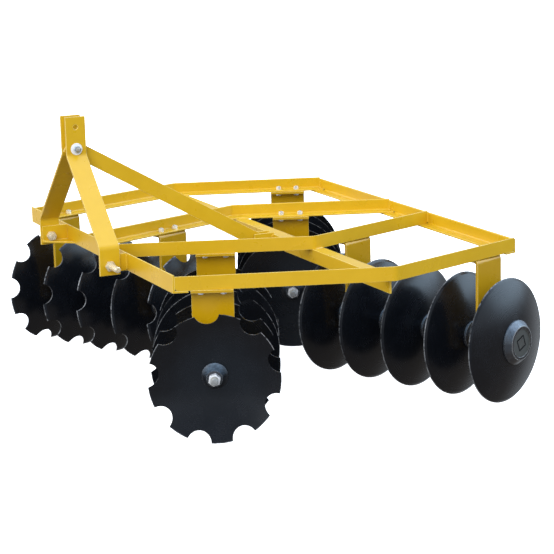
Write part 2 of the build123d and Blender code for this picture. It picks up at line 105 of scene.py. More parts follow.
# ---- colours; a pair is the two ends of a cloudy tone ----
ENAMEL = ((0.590, 0.350, 0.009), (0.635, 0.390, 0.014))
ENAMEL_FILM = (0.570, 0.338, 0.008)
# painted highlight: near-white yellow put on the frame's rounded edges where light would catch them
ENAMEL_PAINTED_HIGHLIGHT = (0.98, 0.84, 0.30)
HANGER_PAINTED_SHADE = 0.80             # painted shade: the hangers' yellow is darkened as if shaded under the rails
BLADE_PAINT = ((0.0028, 0.0036, 0.0054), (0.0050, 0.0062, 0.0088))
BLADE_BARE = (0.50, 0.52, 0.55)
CASTING = ((0.010, 0.012, 0.017), (0.030, 0.032, 0.036))
# painted reflection: bluish sky colour put on the castings' upward faces
CASTING_PAINTED_SKY = (0.105, 0.155, 0.215)
CASTING_RUBBED = (0.30, 0.31, 0.31)
BELL_DULL = (0.034, 0.036, 0.031)
# painted shade: near black put in the axle heads' gaps and the bells' pockets
PAINTED_GAP_SHADE = (0.001, 0.001, 0.001)
AXLE_DARK = ((0.050, 0.051, 0.047), (0.105, 0.106, 0.100))
AXLE_BRIGHT = ((0.24, 0.25, 0.25), (0.38, 0.39, 0.39))
ZINC_PLATE = ((0.88, 0.90, 0.93), (0.98, 0.99, 1.0))
ZINC_POLISHED = ((0.60, 0.67, 0.71), (0.74, 0.80, 0.84))
ZINC_THREAD = ((0.34, 0.34, 0.30), (0.60, 0.58, 0.50))
ZINC_WASHER = ((0.88, 0.90, 0.92), (0.97, 0.98, 1.0))
CHROMATE = ((0.80, 0.68, 0.44), (0.86, 0.80, 0.66))

# ---- wear ----
RIM_WEAR = 0.0028               # width of the worn band on the blades' faces
RIM_BARE = {"front": 0.8, "rear": 0.45}    # how bare it is at most, from 0 to 1
WALL_BARE = 0.45                # and how bare the notches' walls are
WALL_REACH = (0.150, 0.160)     # the notches' walls begin between these distances from the axis
HEAD_LINE = 0.0022              # half the width of the painted shade line round an axle's head
HEAD_LINE_FADE = 0.0008
DISC_FADE = (0.0005, 0.0025)    # depths below the bell's disc over which its dull finish ends
POCKET_FADE = (0.0005, 0.0015)  # and over which the pocket's painted shade begins
CREST_FADE = (0.001, 0.0028)    # distances from the bell rim's crest over which its bare iron ends
MASK_FADE = 0.001               # over which any other mask ends

# ---- sizes of the CAD model's pieces ----
PLATE = 0.0095
RAIL_FLANGE = 0.00635
RAIL_SIZE = 0.0508
LUG_WALL = 0.00635
BEARING_FLANGE = 0.011
BELL_DISC = 0.052               # radius of the sunk disc in the bell's face
BELL_DISC_DEPTH = 0.003
BELL_RIM = 0.062                # radius of the crest of the bell's rim
BELL_POCKET = 0.032             # reaches past the corners of the axle head's pocket
HEAD_GAP = 0.0022               # between the head and its pocket
AXLE = 0.0254
APART = 0.1                     # a gang's pieces of one node stand at least this far apart
SAME_PLACE = 0.0001             # points this near along an axis are on one face
SAME_END = 0.0005               # and these on one end of a rail

# ---- sizes of the pieces made here ----
BOLT_LINE = 0.028               # hanger bolts, from the plate's face to their line
BOLT_PITCH = 0.0762
BOLT_TWIST = 7                  # degrees that the hanger bolts' flats are turned
HANGER_BOLT = 0.0127            # diameter
BEARING_BOLT = 0.0111
BEARING_PATTERN = 0.088
BRACE_BOLT = 0.0159
MAST_WASHER = 2.8               # outer diameter, in bolt diameters, as the next five
LUG_WASHER = 2.1
HEAD_WASHER = 2.0
FLATS = 1.5
HEAD_HEIGHT = 0.64
NUT_HEIGHT = 0.98
WASHER_HEIGHT = 0.17
THREAD_PAST = 0.22              # how far the thread stands past the nut
THREAD_FROM = 0.20              # how deep in the nut it begins
THREAD_PITCH = 0.16
THREAD_DEPTH = 0.55             # in pitches, as the next
LEAD_IN = 0.6
CHAMFER = tan(radians(30))
NUT_FACE = 0.96                 # round face of a nut, across, in flats
HEAD_FACE = 0.93                # and of a bolt head
NUT_MOUTH = 0.0008              # chamfer of a nut's bore
NUT_OVERLAP = 0.0002            # how far a nut reaches into its thread
BREAK = 0.0004                  # broken edge under a bolt head
WASHER_UNDER = (0.0003, 0.0004)    # broken edges of a washer, inward and upward
WASHER_TOP = (0.0005, 0.0006)
BEARING_BOLT_LEAN = 0.3         # how far the bearing bolts' flats lean to the side
BRACE_BOLT_TURN = (0.9, 0, 0.45)   # a flat of the brace bolts faces this way
AXLE_NUT = 0.0381               # across flats
AXLE_NUT_TURN = (0.34, 0, 0.94)    # a flat of the axle nuts faces this way
AXLE_NUT_ROOM = 0.0003          # round the axle
AXLE_THREAD_PITCH = 0.0032
AXLE_THREAD_CORE = -0.0002      # from the axle's radius
AXLE_THREAD_CREST = 0.0006
AXLE_CHAMFER = 0.002
WELD = 0.0055
WELD_RIPPLE = 0.0032
WELD_STEP = 0.0009
WELD_LUMPS = 160                # a metre
WELD_ENDS = 0.004               # how far an upright bead stops short of the flange and the edge
RAIL_WELD_TOP = 0.005           # and of a rail's top
KNEE_GAP = 0.006                # where the bead on the middle crossmember begins, from the rail's knee
CORNER_GAP = 0.003              # and ends, from the crossmember's rear edge
SEGMENTS = 32
HEX_SEGMENTS = 48
THREAD_SEGMENTS = 20


# ==== reading the CAD model ====
def gang_line(joint):
    """Middle and direction of a gang's axis."""
    return Vector(joint["pos_m"]), Vector(joint["axis"]).normalized()


def gang_name(joint):
    return joint["child"].removesuffix("_gang")


def points_of(node):
    return [vertex.co for vertex in frame["nodes"][node].data.vertices]


def stretches(node, origin, direction):
    """Lowest and highest place along a direction of each group of a node's vertices."""
    places = sorted((point - origin).dot(direction) for point in points_of(node))
    groups = [[places[0], places[0]]]
    for place in places:
        if place - groups[-1][1] > APART:
            groups.append([place, place])
        groups[-1][1] = place
    return groups


# ==== camera, light, floor ====
def link(thing):
    bpy.context.collection.objects.link(thing)
    return thing


def make_camera():
    data = bpy.data.cameras.new("camera")
    data.lens = CAMERA_LENS
    data.sensor_width = SENSOR
    data.clip_end = 4 * FLOOR_HALF
    camera = link(bpy.data.objects.new("camera", data))
    yaw, pitch = radians(CAMERA_YAW), radians(CAMERA_PITCH)
    ahead = Vector((cos(pitch) * cos(yaw), cos(pitch) * sin(yaw), sin(pitch)))
    roll = Quaternion(ahead, -radians(CAMERA_ROLL))
    camera.rotation_mode = "QUATERNION"
    camera.rotation_quaternion = roll @ ahead.to_track_quat("-Z", "Y")
    camera.location = CAMERA_PLACE
    bpy.context.scene.camera = camera


def make_world():
    """Pale sky over darker ground, with soft boxes in both, and a plain white backdrop."""
    world = bpy.data.worlds.new("studio")
    world.use_nodes = True
    bpy.context.scene.world = world
    tree = world.node_tree
    tree.nodes.clear()
    outward = put(tree, "ShaderNodeTexCoord").outputs["Generated"]
    height = put(tree, "ShaderNodeSeparateXYZ", {"Vector": outward}).outputs["Z"]
    light = blend(tree, spread(tree, height, 0, 1, *HORIZON), GROUND, SKY)
    above = spread(tree, height, 0, 1, *SKY_BOX_FOOT)
    below = spread(tree, height, 1, 0, *GROUND_BOX_TOP)
    for boxes, where in ((SKY_BOXES, above), (GROUND_BOXES, below)):
        for direction, begins, full, color in boxes:
            towards = vector_math(tree, "DOT_PRODUCT", outward, Vector(direction).normalized())
            share = spread(tree, towards, 0, 1, begins, full, "SMOOTHSTEP")
            light = vector_math(tree, "MULTIPLY_ADD", color, product(tree, share, where), light)
    seen = put(tree, "ShaderNodeLightPath").outputs["Is Camera Ray"]
    background = put(tree, "ShaderNodeBackground", {"Color": blend(tree, seen, light, BACKDROP)})
    put(tree, "ShaderNodeOutputWorld", {"Surface": background.outputs["Background"]})


def make_floor():
    """Plain white floor that the machine neither mirrors nor is lit by."""
    half = FLOOR_HALF
    mesh = bpy.data.meshes.new("floor")
    corners = [(-half, -half, 0), (half, -half, 0), (half, half, 0), (-half, half, 0)]
    mesh.from_pydata(corners, [], [(0, 1, 2, 3)])
    floor = link(bpy.data.objects.new("floor", mesh))
    white = (FLOOR_WHITE, FLOOR_WHITE, FLOOR_WHITE, 1)
    values = {"Base Color": white, "Roughness": 0.9, "Specular IOR Level": 0.1,
              "Emission Color": white, "Emission Strength": FLOOR_GLOW}
    mesh.materials.append(new_material("floor", values)[0])
    floor.visible_glossy = False
    floor.visible_diffuse = False


def fill_light():
    """Broad light from behind the camera that brightens matt surfaces and leaves the gloss alone."""
    data = bpy.data.lights.new("fill", "SUN")
    data.angle = radians(FILL_WIDTH)
    data.energy = FILL_STRENGTH
    light = link(bpy.data.objects.new("fill", data))
    light.rotation_mode = "QUATERNION"
    light.rotation_quaternion = Vector(FILL_FROM).to_track_quat("Z", "Y")
    light.visible_glossy = False


# ==== node trees ====
def put(tree, kind, inputs=None, **settings):
    """Adds a node. An input is given a value, or is linked if it is given another node's output."""
    node = tree.nodes.new(kind)
    for setting, value in settings.items():
        setattr(node, setting, value)
    for socket, value in (inputs or {}).items():
        if isinstance(value, bpy.types.NodeSocket):
            tree.links.new(value, node.inputs[socket])
        else:
            node.inputs[socket].default_value = value
    return node


def new_material(name, values):
    """A material with these values on its shader's sockets, its node tree and its shader."""
    material = bpy.data.materials.new(name)
    material.use_nodes = True
    tree = material.node_tree
    shader = tree.nodes["Principled BSDF"]
    for socket, value in values.items():
        shader.inputs[socket].default_value = value
    return material, tree, shader


def pattern(tree, place, scale, detail=2.0, roughness=0.5):
    """Noise from 0 to 1, its features 1 / scale metres across."""
    inputs = {"Vector": place, "Scale": scale, "Detail": detail, "Roughness": roughness}
    return put(tree, "ShaderNodeTexNoise", inputs).outputs["Fac"]


def spread(tree, value, low, high, start=0.3, end=0.7, kind="LINEAR"):
    """Maps start to end onto low to high; the defaults suit a pattern's own range."""
    inputs = {"Value": value, "From Min": start, "From Max": end, "To Min": low, "To Max": high}
    return put(tree, "ShaderNodeMapRange", inputs, interpolation_type=kind).outputs["Result"]


def blend(tree, factor, first, second):
    """Mixes two colours, each a tuple or another node's output."""
    inputs = {"Factor": factor}
    for socket, color in ((6, first), (7, second)):
        inputs[socket] = color if isinstance(color, bpy.types.NodeSocket) else (*color, 1)
    return put(tree, "ShaderNodeMix", inputs, data_type="RGBA").outputs[2]


def calculate(tree, operation, *values):
    inputs = dict(enumerate(values))
    return put(tree, "ShaderNodeMath", inputs, operation=operation).outputs["Value"]


def product(tree, first, *others):
    for other in others:
        first = calculate(tree, "MULTIPLY", first, other)
    return first


def vector_math(tree, operation, *values):
    """A number for a dot product or a length, and a vector for any other operation."""
    node = put(tree, "ShaderNodeVectorMath", dict(enumerate(values)), operation=operation)
    return node.outputs["Value" if operation in ("DOT_PRODUCT", "LENGTH") else "Vector"]


def relief(tree, shader, layers, normal=None):
    """Stacks bump layers of (pattern, strength, height in metres) on a normal, under the shader."""
    for height, strength, distance in layers:
        inputs = {"Height": height, "Strength": strength, "Distance": distance}
        if normal:
            inputs["Normal"] = normal
        normal = put(tree, "ShaderNodeBump", inputs).outputs["Normal"]
    tree.links.new(normal, shader.inputs["Normal"])


def rounded_edge(tree, radius, low, high):
    """The normal as if edges were rounded by the radius, and a mask of the edges.

    The mask is 1 where the cosine between the true and the rounded normal is low and 0 where it is high.
    """
    true_normal = put(tree, "ShaderNodeNewGeometry").outputs["Normal"]
    soft_normal = put(tree, "ShaderNodeBevel", {"Radius": radius}, samples=6).outputs["Normal"]
    likeness = vector_math(tree, "DOT_PRODUCT", true_normal, soft_normal)
    return soft_normal, spread(tree, likeness, 1, 0, low, high)


def from_hub(tree, place, joint):
    """Place from the middle of a gang, as a vector."""
    return vector_math(tree, "SUBTRACT", place, gang_line(joint)[0])


def from_axis(tree, place, joint):
    """Distance from a gang's axis."""
    across = vector_math(tree, "CROSS_PRODUCT", from_hub(tree, place, joint), gang_line(joint)[1])
    return vector_math(tree, "LENGTH", across)


def along_axis(tree, place, joint):
    """Place along a gang's axis, from its middle hub."""
    return vector_math(tree, "DOT_PRODUCT", from_hub(tree, place, joint), gang_line(joint)[1])


def head_shade_line(tree, place, joint):
    """Mask of a line of painted shade along the edges of an axle's square head, on the head and on the bell
    round it.
    """
    node = f"{gang_name(joint)}_axle"
    centre, axis = gang_line(joint)
    outermost = stretches(node, centre, axis)[0][0]
    spots = [point - centre for point in points_of(node)]
    corner = next(spot - spot.dot(axis) * axis for spot in spots
                  if spot.dot(axis) < outermost + SAME_PLACE)
    away = from_hub(tree, place, joint)
    reaches = []
    for turn in (45, -45):
        side = Quaternion(axis, radians(turn)) @ corner.normalized()
        reaches.append(calculate(tree, "ABSOLUTE", vector_math(tree, "DOT_PRODUCT", away, side)))
    middle_of_gap = corner.length / sqrt(2) + HEAD_GAP / 2
    off = calculate(tree, "SUBTRACT", calculate(tree, "MAXIMUM", *reaches), middle_of_gap)
    off = calculate(tree, "ABSOLUTE", off)
    return spread(tree, off, 1, 0, HEAD_LINE, HEAD_LINE + HEAD_LINE_FADE)


# ==== finishes ====
def yellow_enamel(name, depth):
    """Golden-yellow enamel on hot-rolled steel: slow drift of tone, painted highlights on its edges, orange
    peel, waves; a depth below 1 darkens it as painted shade.
    """
    material, tree, shader = new_material(name, {"Specular IOR Level": 0.5})
    # painted shade: a depth below 1 darkens the coat as if it stood in shade, green and blue faster than
    # red
    first_tone, second_tone, film_tone = (
        (red * depth, green * depth**1.25, blue * depth**8)
        for red, green, blue in (*ENAMEL, ENAMEL_FILM))
    place = put(tree, "ShaderNodeTexCoord").outputs["Object"]
    soft_normal, rim = rounded_edge(tree, radius=0.0024, low=0.90, high=0.995)
    drift = spread(tree, pattern(tree, place, scale=3.5), 0, 1)
    tone = blend(tree, drift, first_tone, second_tone)
    film = spread(tree, pattern(tree, place, scale=24, detail=3), 0, 0.5, start=0.35, end=0.75)
    coat = blend(tree, film, tone, film_tone)
    # painted highlight: the rounded edges turn near-white yellow as if they caught the light
    edges = product(tree, rim, spread(tree, pattern(tree, place, scale=16), 0.70, 1.0))
    color = blend(tree, edges, coat, ENAMEL_PAINTED_HIGHLIGHT)
    gloss = spread(tree, pattern(tree, place, scale=9, detail=4), 0.25, 0.34)
    tree.links.new(color, shader.inputs["Base Color"])
    tree.links.new(gloss, shader.inputs["Roughness"])
    waves = pattern(tree, place, scale=30, detail=1)
    peel = pattern(tree, place, scale=480)
    relief(tree, shader, ((waves, 0.15, 0.0005), (peel, 0.10, 0.00006)), soft_normal)
    return material


def black_enamel(joint):
    """Black enamel on a gang's blades, with bare steel in places on the rims and on the notches' walls."""
    material, tree, shader = new_material(f"{joint['child']}_black", {"Specular IOR Level": 0.5})
    coordinates = put(tree, "ShaderNodeTexCoord")
    place = coordinates.outputs["Object"]
    reach = from_axis(tree, place, joint)
    centre, axis = gang_line(joint)
    blade_radius = centre.z

    facing = vector_math(tree, "DOT_PRODUCT", coordinates.outputs["Normal"], axis)
    wall = spread(tree, calculate(tree, "ABSOLUTE", facing), 1, 0, start=0.35, end=0.55)
    wall = product(tree, wall, spread(tree, reach, 0, WALL_BARE, *WALL_REACH))
    rim_bare = RIM_BARE[joint["child"].split("_")[0]]
    rim = spread(tree, reach, 0, rim_bare, blade_radius - RIM_WEAR, blade_radius - RIM_WEAR / 2)
    chips = pattern(tree, place, scale=60, detail=4, roughness=0.6)
    chips = spread(tree, chips, 0, 1, start=0.38, end=0.56)
    worn = spread(tree, pattern(tree, place, scale=9), 0.25, 1, start=0.42, end=0.58)
    bare = product(tree, calculate(tree, "MAXIMUM", wall, rim), chips, worn)

    mottle = spread(tree, pattern(tree, place, scale=14, detail=4, roughness=0.6), 0, 1)
    color = blend(tree, bare, blend(tree, mottle, *BLADE_PAINT), BLADE_BARE)
    inputs = {"W": reach, "Scale": 260.0, "Detail": 3.0}
    rings = put(tree, "ShaderNodeTexNoise", inputs, noise_dimensions="1D").outputs["Fac"]
    gloss = calculate(tree, "ADD", spread(tree, rings, -0.006, 0.010),
                      spread(tree, mottle, 0.23, 0.29, start=0, end=1))
    tree.links.new(color, shader.inputs["Base Color"])
    tree.links.new(product(tree, bare, 0.5), shader.inputs["Metallic"])
    tree.links.new(gloss, shader.inputs["Roughness"])
    dents = pattern(tree, place, scale=22)
    peel = pattern(tree, place, scale=420)
    relief(tree, shader, ((dents, 0.2, 0.0006), (rings, 0.012, 0.0001), (peel, 0.05, 0.00006)))
    return material


def black_casting(name, joint=None):
    """Sand-cast iron under black paint, rubbed grey on its edges, with a bluish sky reflection painted on
    its upward faces.

    A bell's also takes the joint that it turns on.
    """
    material, tree, shader = new_material(name, {"Specular IOR Level": 1.0})
    coordinates = put(tree, "ShaderNodeTexCoord")
    place = coordinates.outputs["Object"]
    soft_normal, rim = rounded_edge(tree, radius=0.0022, low=0.90, high=0.985)
    speckle = pattern(tree, place, scale=420, detail=3, roughness=0.7)
    speckle = spread(tree, speckle, 0, 1, start=0.42, end=0.62)
    mottle = spread(tree, pattern(tree, place, scale=55, detail=5, roughness=0.65), 0, 1)
    upward = put(tree, "ShaderNodeSeparateXYZ", {"Vector": coordinates.outputs["Normal"]}).outputs["Z"]
    # painted reflection: faces turned up take the bluish sky colour, broken into patches
    painted_sky_upward = spread(tree, upward, 0, 1, start=0.05, end=0.75)
    patches = spread(tree, pattern(tree, place, scale=130, detail=4, roughness=0.7), 0.25, 1.0)
    skin = blend(tree, product(tree, painted_sky_upward, patches), blend(tree, mottle, *CASTING), CASTING_PAINTED_SKY)
    gloss = spread(tree, mottle, 0.13, 0.26, start=0, end=1)
    if joint:
        skin, gloss, rim = bell_face(tree, shader, place, joint, skin, gloss, rim)
    color = blend(tree, product(tree, rim, speckle), skin, CASTING_RUBBED)
    tree.links.new(color, shader.inputs["Base Color"])
    tree.links.new(gloss, shader.inputs["Roughness"])
    sand = pattern(tree, place, scale=520, detail=4, roughness=0.6)
    lumps = pattern(tree, place, scale=90, detail=3)
    relief(tree, shader, ((lumps, 0.30, 0.0007), (sand, 0.18, 0.0002)), soft_normal)
    return material


def bell_face(tree, shader, place, joint, skin, gloss, rim):
    """Adds a bell's dull disc, painted shade in its pocket and round the axle's head, and rubbed rim to a
    casting's skin, gloss and bare edges.
    """
    reach, along = from_axis(tree, place, joint), along_axis(tree, place, joint)
    disc_face = stretches(f"{gang_name(joint)}_end_bell", *gang_line(joint))[0][0] + BELL_DISC_DEPTH
    depth = calculate(tree, "SUBTRACT", along, disc_face)
    at_face = spread(tree, depth, 1, 0, *DISC_FADE)
    disc = product(tree, at_face, spread(tree, reach, 1, 0, BELL_DISC, BELL_DISC + MASK_FADE))
    skin = blend(tree, disc, skin, BELL_DULL)
    gloss = calculate(tree, "MAXIMUM", gloss, product(tree, disc, 0.55))

    # painted shade: the pocket below the disc and the line round the axle head are made near black
    deeper = spread(tree, depth, 0, 1, *POCKET_FADE)
    pocket = product(tree, deeper, spread(tree, reach, 1, 0, BELL_POCKET, BELL_POCKET + MASK_FADE))
    line = product(tree, at_face, head_shade_line(tree, place, joint))
    gap_shade = calculate(tree, "MAXIMUM", pocket, line)
    skin = blend(tree, gap_shade, skin, PAINTED_GAP_SHADE)
    gloss = calculate(tree, "MAXIMUM", gloss, gap_shade)
    tree.links.new(gap_shade, shader.inputs["Metallic"])    # painted shade: the pocket and head line turn to a black metal that reflects nothing

    from_crest = calculate(tree, "ABSOLUTE", calculate(tree, "SUBTRACT", reach, BELL_RIM))
    crest = product(tree, at_face, spread(tree, from_crest, 1, 0, *CREST_FADE))
    return skin, gloss, calculate(tree, "MAXIMUM", rim, crest)


def axle_steel(joint):
    """Dark steel that turns bright on the threaded end past the nut, with a painted shade line round its
    square head.
    """
    material, tree, shader = new_material(f"{joint['child']}_axle_steel", {"Metallic": 0.4})
    place = put(tree, "ShaderNodeTexCoord").outputs["Object"]
    nut_end = stretches(f"{gang_name(joint)}_axle_nut", *gang_line(joint))[0][1]
    past_nut = spread(tree, along_axis(tree, place, joint), 0, 1, nut_end, nut_end + MASK_FADE)
    cloud = spread(tree, pattern(tree, place, scale=90, detail=4, roughness=0.6), 0, 1)
    tone = blend(tree, past_nut, blend(tree, cloud, *AXLE_DARK), blend(tree, cloud, *AXLE_BRIGHT))
    # painted shade: near black along the gap round the square head
    color = blend(tree, head_shade_line(tree, place, joint), tone, PAINTED_GAP_SHADE)
    finish_plate(tree, shader, place, color, 0.42, 0.58)
    return material


def plating(name, metallic, tones, bright, dull):
    """Thin metal plate, cloudy in tone and gloss."""
    material, tree, shader = new_material(name, {"Metallic": metallic})
    place = put(tree, "ShaderNodeTexCoord").outputs["Object"]
    cloud = spread(tree, pattern(tree, place, scale=90, detail=4, roughness=0.6), 0, 1)
    finish_plate(tree, shader, place, blend(tree, cloud, *tones), bright, dull)
    return material


def finish_plate(tree, shader, place, color, bright, dull):
    """Gives bare or plated metal its colour, a gloss from bright to dull and a fine grain."""
    tree.links.new(color, shader.inputs["Base Color"])
    gloss = spread(tree, pattern(tree, place, scale=230, detail=3), bright, dull)
    tree.links.new(gloss, shader.inputs["Roughness"])
    relief(tree, shader, ((pattern(tree, place, scale=900), 0.12, 0.00003),))


# ==== mesh making ====
def turned(mesh, place, profile, segments=SEGMENTS, closed=False):
    """Turns a profile round the local Z axis. A point is (radius, height), or a function of the angle."""
    angles = [2 * pi * i / segments for i in range(segments)]
    rings = []
    for point in profile:
        spots = [point(a) if callable(point) else point for a in angles]
        if max(radius for radius, height in spots) == 0:
            rings.append([mesh.verts.new(place @ Vector((0, 0, spots[0][1])))] * segments)
        else:
            rings.append([mesh.verts.new(place @ Vector((r * cos(a), r * sin(a), z)))
                          for a, (r, z) in zip(angles, spots)])
    pairs = list(zip(rings, rings[1:]))
    if closed:
        pairs.append((rings[-1], rings[0]))
    for low, high in pairs:
        for i in range(segments):
            j = (i + 1) % segments
            corners = list(dict.fromkeys((low[i], low[j], high[j], high[i])))
            mesh.faces.new(corners)


def finish_from(mesh, made_before, finish):
    """Gives every face made since then one of the mesh's finishes."""
    for face in list(mesh.faces)[made_before:]:
        face.material_index = finish


def hexagon(flats, face, height, fall=0):
    """Outline of a hexagon, as a function of the angle. Past the round face it is chamfered up or down."""
    def point(angle):
        reach = flats / 2 / cos((angle + pi / 6) % (pi / 3) - pi / 6)
        return reach, height + fall * (reach - face) * CHAMFER
    return point


def hex_nut(mesh, place, flats, height, bore):
    """Hexagon nut from height 0, both faces chamfered."""
    face = NUT_FACE * flats / 2
    low, high = hexagon(flats, face, 0.0, 1), hexagon(flats, face, height, -1)
    profile = [(bore, 0.0), (face, 0.0), low, high, (face, height), (bore + NUT_MOUTH, height),
               (bore, height - NUT_MOUTH)]
    turned(mesh, place, profile, HEX_SEGMENTS, closed=True)


def hex_head(mesh, place, flats, height):
    """Hexagon bolt head from height 0 up, its top chamfered."""
    face = HEAD_FACE * flats / 2
    foot, shoulder = hexagon(flats, face, BREAK), hexagon(flats, face, height, -1)
    profile = [(0.0, 0.0), (face, 0.0), foot, shoulder, (face, height), (0.0, height)]
    turned(mesh, place, profile, HEX_SEGMENTS)


def washer(mesh, place, outer, bore, thickness):
    """Flat washer with its edge broken, in the mesh's third finish."""
    made_before = len(mesh.faces)
    profile = [(bore, 0.0), (outer - WASHER_UNDER[0], 0.0), (outer, WASHER_UNDER[1]),
               (outer, thickness - WASHER_TOP[1]), (outer - WASHER_TOP[0], thickness), (bore, thickness)]
    turned(mesh, place, profile, closed=True)
    finish_from(mesh, made_before, 2)


def thread(mesh, place, core, crest, pitch, low, high):
    """Helical thread ridge standing on a shank."""
    half_foot, half_crest = 0.46 * pitch, 0.06 * pitch
    before = None
    for i in range(int((high - low - pitch) / pitch * THREAD_SEGMENTS) + 1):
        angle = 2 * pi * i / THREAD_SEGMENTS
        z = low + pitch / 2 + pitch * i / THREAD_SEGMENTS
        section = [(core, z - half_foot), (crest, z - half_crest),
                   (crest, z + half_crest), (core, z + half_foot)]
        ridge = [mesh.verts.new(place @ Vector((r * cos(angle), r * sin(angle), h))) for r, h in section]
        if before:
            for k in range(3):
                mesh.faces.new((before[k], ridge[k], ridge[k + 1], before[k + 1]))
        before = ridge


def bolt_end(mesh, place, diameter, low, high):
    """Threaded end of a bolt, with its lead-in chamfer, in the mesh's second finish."""
    pitch = THREAD_PITCH * diameter
    core, tip = diameter / 2 - THREAD_DEPTH * pitch, diameter / 2 - (THREAD_DEPTH + 0.5) * pitch
    made_before = len(mesh.faces)
    turned(mesh, place, [(core, low), (core, high - LEAD_IN * pitch), (tip, high), (0.0, high)])
    thread(mesh, place, core, diameter / 2, pitch, low, high)
    finish_from(mesh, made_before, 1)


def frame_at(origin, direction, toward):
    """Placement whose local Z runs along direction and whose local X leans toward another."""
    z_axis = Vector(direction).normalized()
    x_axis = (toward - z_axis * toward.dot(z_axis)).normalized()
    turned_to = Matrix((x_axis, z_axis.cross(x_axis), z_axis)).transposed()
    return Matrix.Translation(Vector(origin)) @ turned_to.to_4x4()


def bolt_through(mesh, head_side, nut_side, diameter, toward, washers=(HEAD_WASHER, 0)):
    """Bolt, washers and nut, with the head at the first point and a flat of each facing toward."""
    along = (nut_side - head_side).normalized()
    flats, bore = FLATS * diameter, diameter / 2
    height = WASHER_HEIGHT * diameter
    for spot, direction, across in ((head_side, -along, washers[0]), (nut_side, along, washers[1])):
        if across:
            washer(mesh, frame_at(spot, direction, toward), across * diameter / 2, bore, height)
    head_at = head_side - along * (height if washers[0] else 0)
    nut_at = nut_side + along * (height if washers[1] else 0)
    hex_head(mesh, frame_at(head_at, -along, toward), flats, HEAD_HEIGHT * diameter)
    nut_place = frame_at(nut_at, along, toward)
    hex_nut(mesh, nut_place, flats, NUT_HEIGHT * diameter, bore - NUT_OVERLAP)
    bolt_end(mesh, nut_place, diameter, THREAD_FROM * diameter, (NUT_HEIGHT + THREAD_PAST) * diameter)


def bead(mesh, start, end, side, up):
    """Weld bead along a straight line in the corner between the directions side and up, rippled as laid."""
    side, up = Vector(side), Vector(up)
    length = (end - start).length
    steps = max(8, int(length / WELD_STEP))
    before = None
    for i in range(steps + 1):
        t = i / steps
        here = start.lerp(end, t)
        from_end = min(t, 1 - t) * length
        taper = min(1.0, 3 * sqrt(max(0.0, from_end / WELD / 3)) + 0.15)
        phase = (t * length / WELD_RIPPLE) % 1.0
        swell = 1 + 0.10 * sin(pi * phase) + 0.12 * noise(here * WELD_LUMPS)
        section = []
        for k in range(6):
            a = k / 5 * pi / 2
            bulge = WELD * taper * swell * (0.72 + 0.20 * abs(cos(2 * a)))
            section.append(mesh.verts.new(here + side * bulge * cos(a) + up * bulge * sin(a)))
        if before:
            for k in range(5):
                mesh.faces.new((before[k], section[k], section[k + 1], before[k + 1]))
        before = section


def piece(name, mesh, materials, body, sharp=35):
    """Makes the object, smooth but for its sharp edges, and rides it on a body."""
    bmesh.ops.recalc_face_normals(mesh, faces=mesh.faces[:])
    data = bpy.data.meshes.new(name)
    mesh.to_mesh(data)
    mesh.free()
    for polygon in data.polygons:
        polygon.use_smooth = True
    data.set_sharp_from_angle(angle=radians(sharp))
    for material in materials:
        data.materials.append(material)
    thing = link(bpy.data.objects.new(name, data))
    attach(thing, body)
    return thing


# ==== fasteners; their finishes are for nuts and heads, for threads and for washers ====
def hanger_and_bearing_bolts(joint, finishes):
    """Two bolts from each hanger up through its rail, and four from it into its bearing."""
    gang = gang_name(joint)
    centre, axis = gang_line(joint)
    up = Vector((0, 0, 1))
    across = axis.cross(up)
    hanger_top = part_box(f"{gang}_hangers")[1].z
    hanger_bolts, bearing_bolts = bmesh.new(), bmesh.new()
    for face, _ in stretches(f"{gang}_hangers", centre, axis):
        for side in (-1, 1):
            spot = centre + axis * (face + BOLT_LINE) + across * side * BOLT_PITCH / 2
            above, below = spot.copy(), spot.copy()
            above.z, below.z = hanger_top + RAIL_FLANGE, hanger_top - PLATE
            toward = Quaternion(up, radians(BOLT_TWIST * side)) @ axis
            bolt_through(hanger_bolts, below, above, HANGER_BOLT, toward)
        for across_side in (-1, 1):
            for up_side in (-1, 1):
                corner = (across * across_side + up * up_side) * BEARING_PATTERN / 2
                spot = centre + corner + axis * face
                plate_side, flange_side = spot + axis * PLATE, spot - axis * BEARING_FLANGE
                toward = up + across * BEARING_BOLT_LEAN * across_side
                bolt_through(bearing_bolts, plate_side, flange_side, BEARING_BOLT, toward)
    piece(f"{gang}_hanger_bolts", hanger_bolts, finishes, "frame")
    piece(f"{gang}_bearing_bolts", bearing_bolts, finishes, "frame")


def brace_bolts(finishes):
    """The brace's bolts: one through the mast's upper bars, its nut on the left, one through the lugs."""
    mesh = bmesh.new()
    bushes = points_of("brace_bushes")
    middle = sum(p.x for p in bushes) / len(bushes)
    upper = [p for p in bushes if p.x > middle]
    lower = [p for p in bushes if p.x < middle]
    for bush, wall, head_hand, across in ((upper, PLATE, -1, MAST_WASHER),
                                          (lower, LUG_WALL, 1, LUG_WASHER)):
        half = max(p.y for p in bush) + wall
        x = (min(p.x for p in bush) + max(p.x for p in bush)) / 2
        z = (min(p.z for p in bush) + max(p.z for p in bush)) / 2
        head_side, nut_side = Vector((x, head_hand * half, z)), Vector((x, -head_hand * half, z))
        bolt_through(mesh, head_side, nut_side, BRACE_BOLT, Vector(BRACE_BOLT_TURN), (across, across))
    piece("brace_bolts", mesh, finishes, "frame")


